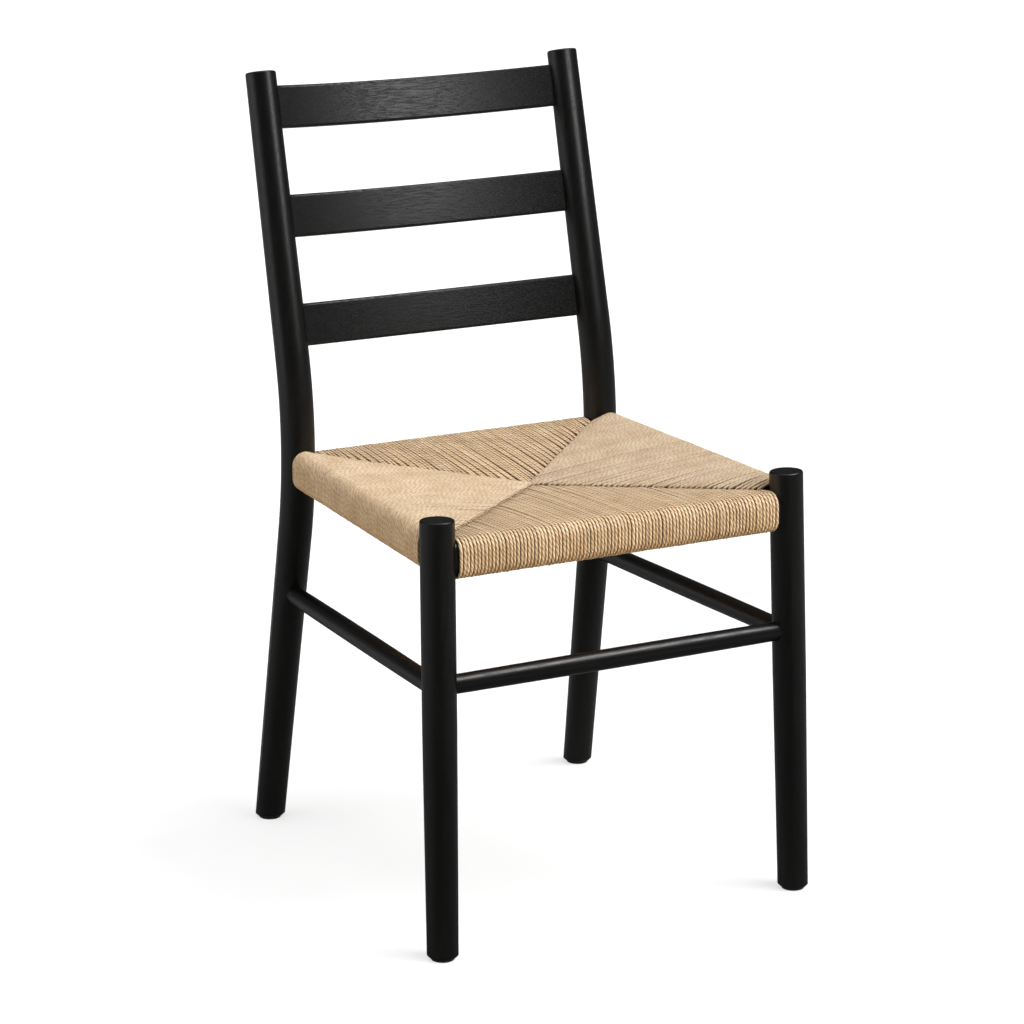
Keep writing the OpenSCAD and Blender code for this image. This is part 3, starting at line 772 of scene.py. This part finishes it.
def field_strands(seat, field, draw):
    """All the cords of one field: front, rear, left or right."""
    sizes = bpy.context.scene.chair_cord
    front_room = FRONT_LEG_D / 2 + sizes.leg_gap + sizes.diameter / 2
    rear_room = REAR_LEG_D / 2 + sizes.leg_gap + sizes.diameter / 2
    on_side = field in SIDE_FIELDS
    rear = field == "rear"
    turn = -1 if field in ("rear", "right") else 1
    if on_side:
        low, high = seat.y_front + front_room, seat.y_rear - rear_room
        across, slim, twist, spread = Vector((0, 1, 0)), 0.0, SIDE_TWIST, SIDE_TONE_SPREAD
    else:
        high = seat.half_rear - rear_room if rear else seat.half_front - front_room
        low = -high
        across, slim, twist, spread = (
            Vector((1, 0, 0)), CROSS_SLIM, CROSS_TWIST, CROSS_TONE_SPREAD)
    y_rail = seat.y_rear if rear else seat.y_front
    count = round((high - low) / sizes.pitch)
    strands = []
    for i in range(count + 1):
        at = low + (high - low) * i / count
        at_rail = draw.gauss(0, 1) * sizes.wander
        at_seam = draw.gauss(0, 1) * sizes.stray
        up = draw.gauss(0, 1) * sizes.wander
        if not on_side:
            # Cords go under the side field in pairs
            at_seam += PAIR_SHIFT if i % 2 else -PAIR_SHIFT
        if field == "right" and i < SLOT_CORDS:
            at_seam -= SLOT_W * (i + 1) / SLOT_CORDS
        flat, start = side_flat(seat, at) if on_side else cross_flat(seat, at, rear)
        points = []
        for u, v in flat:
            share = min(1.0, max(0.0, u / start))
            aside = at + at_rail + (at_seam - at_rail) * share
            if on_side:
                out = turn * (u - seat.half_width(at))
                points.append(Vector((out, aside, seat.z_side + v + up)))
            else:
                points.append(Vector((aside, y_rail + turn * u, seat.z_front + v + up)))
        radius = sizes.diameter / 2 * (1 + draw.gauss(0, RADIUS_SPREAD))
        # The field's painted shade, and a tone that strays at random
        tone = FIELD_PAINTED_SHADE[field] + draw.uniform(-1, 1) * spread
        strands.append((smooth_path(points, PATH_STEP), radius, across, slim, (tone, twist),
                        draw.random()))
    return strands


def crossing_sheet(seat):
    """A thin sheet between the two layers, for the cords that cross unseen there, painted dark
    with their shade.
    """
    rows = ((seat.y_front + SHEET_IN, seat.z_front),
            (seat.y_middle, (seat.top + seat.bottom) / 2),
            (seat.y_rear - SHEET_IN, seat.z_front))
    # Two layers of three rows of two corners
    verts = [(sign * (seat.half_width(y) - SHEET_IN), y, z + lift)
             for lift in (-SHEET_T / 2, SHEET_T / 2) for y, z in rows for sign in (-1, 1)]
    faces = [(6, 7, 9, 8), (8, 9, 11, 10), (0, 2, 3, 1), (2, 4, 5, 3), (0, 6, 8, 2),
             (2, 8, 10, 4), (1, 3, 9, 7), (3, 5, 11, 9), (0, 1, 7, 6), (4, 10, 11, 5)]
    mesh = bpy.data.meshes.new("crossing_cords_painted_shade")
    mesh.from_pydata(verts, [], faces)
    mesh.materials.append(painted_shade_cord())
    made = bpy.data.objects.new("crossing_cords_painted_shade", mesh)
    bpy.context.collection.objects.link(made)
    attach(made, "root")


# ----------------------------------------------------------------- operators


class CHAIR_OT_finish_wood(bpy.types.Operator):
    """Stains the legs, rails, stretchers and slats, each with its grain along it"""

    bl_idname = "chair.finish_wood"
    bl_label = "Finish the wood"

    def execute(self, context):
        # The grain is twenty times as long as wide, along z, x or y
        upright, crosswise, lengthwise = (1, 1, 0.05), (0.05, 1, 1), (1, 0.05, 1)
        give(LEGS, stained_wood("black_stained_wood_upright", upright, 0.12))
        give(CROSS_BARS, stained_wood("black_stained_wood_crosswise", crosswise, 0.15))
        give(SIDE_BARS, stained_wood("black_stained_wood_lengthwise", lengthwise, 0.15))
        give(SLATS, stained_wood("black_stained_wood_slats", crosswise, 0.5))
        return {"FINISHED"}


class CHAIR_OT_weave_seat(bpy.types.Operator):
    """Weaves the four fields of paper cord round the seat rails"""

    bl_idname = "chair.weave_seat"
    bl_label = "Weave the seat"

    def execute(self, context):
        draw = random.Random(WEAVE_SEED)
        seat = Seat()
        material = paper_cord()
        for field in FIELDS:
            made = cord_mesh(f"{field}_woven_field", field_strands(seat, field, draw))
            made.data.materials.append(material)
            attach(made, "root")
            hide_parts(f"{field}_cord_field")
        # A sheet with painted shade between the two layers
        crossing_sheet(seat)
        return {"FINISHED"}


class CHAIR_OT_finish_small_parts(bpy.types.Operator):
    """Finishes the stuffing boards, the tacks and the felt glides"""

    bl_idname = "chair.finish_small_parts"
    bl_label = "Finish the small parts"

    def execute(self, context):
        give(BOARDS, pulp_board())
        give(["cord_tacks"], blued_steel())
        give(GLIDES, wool_felt())
        return {"FINISHED"}


class CHAIR_OT_set_stage(bpy.types.Operator):
    """Sets the floor, the soft lights and the camera"""

    bl_idname = "chair.set_stage"
    bl_label = "Set the stage"

    def execute(self, context):
        stage = context.scene.chair_stage
        deselect_all()
        bpy.ops.mesh.primitive_plane_add(size=FLOOR_W, location=(0, 0, 0))
        floor = context.active_object
        floor.name = "studio_floor"
        floor.data.materials.append(studio_paper())

        soft_room()
        to_key = heading(*KEY_AT)
        bpy.ops.object.light_add(type="SUN", location=to_key * KEY_AWAY)
        key = context.active_object
        key.name = "key_light"
        key.data.energy = stage.key
        key.data.angle = stage.key_spread
        key.rotation_euler = to_key.to_track_quat("Z", "Y").to_euler()

        # A small box close to the chair, which puts the soft highlights on its slats
        to_box = heading(*RIGHT_BOX_AT)
        bpy.ops.object.light_add(
            type="AREA", location=BOX_AIM + to_box * stage.box_away,
            rotation=to_box.to_track_quat("Z", "Y").to_euler())
        box = context.active_object
        box.name = "right_box"
        box.data.shape = "DISK"
        box.data.size = stage.box_size
        box.data.energy = stage.right_box
        box.visible_diffuse = False
        box.visible_camera = False

        back_off = heading(math.degrees(stage.azimuth), math.degrees(stage.elevation))
        bpy.ops.object.camera_add(location=Vector(stage.aim) + back_off * stage.distance)
        camera = context.active_object
        camera.name = "studio_camera"
        camera.rotation_euler = (-back_off).to_track_quat("-Z", "Y").to_euler()
        camera.data.lens = stage.lens
        camera.data.clip_end = FAR_CLIP
        context.scene.camera = camera
        context.scene.view_settings.view_transform = "Standard"
        return {"FINISHED"}


class CHAIR_PT_sidebar(bpy.types.Panel):
    """Lists the chair's settings and steps"""

    bl_idname = "CHAIR_PT_sidebar"
    bl_label = "Dining Chair"
    bl_space_type = "VIEW_3D"
    bl_region_type = "UI"
    bl_category = "Chair"

    def draw(self, context):
        column = self.layout.column()
        for group in (context.scene.chair_cord, context.scene.chair_colours,
                      context.scene.chair_stage):
            for key in group.bl_rna.properties.keys():
                if key not in ("rna_type", "name"):
                    column.prop(group, key)
        for step in STEPS:
            column.operator(step.bl_idname)


STEPS = (CHAIR_OT_set_stage, CHAIR_OT_finish_wood, CHAIR_OT_weave_seat,
         CHAIR_OT_finish_small_parts)
CLASSES = (ChairCord, ChairColours, ChairStage, *STEPS, CHAIR_PT_sidebar)


def register():
    """Registers the classes and hangs the settings on the scene."""
    for cls in CLASSES:
        bpy.utils.register_class(cls)
    bpy.types.Scene.chair_cord = bpy.props.PointerProperty(type=ChairCord)
    bpy.types.Scene.chair_colours = bpy.props.PointerProperty(type=ChairColours)
    bpy.types.Scene.chair_stage = bpy.props.PointerProperty(type=ChairStage)


def unregister():
    """Takes the settings and the classes away again."""
    for name in ("chair_cord", "chair_colours", "chair_stage"):
        delattr(bpy.types.Scene, name)
    for cls in reversed(CLASSES):
        bpy.utils.unregister_class(cls)


def main():
    """Runs every step in order."""
    register()
    deselect_all()
    bpy.ops.chair.set_stage()
    bpy.ops.chair.finish_wood()
    bpy.ops.chair.weave_seat()
    bpy.ops.chair.finish_small_parts()
    bpy.context.view_layer.update()


if __name__ == "__main__":
    main()
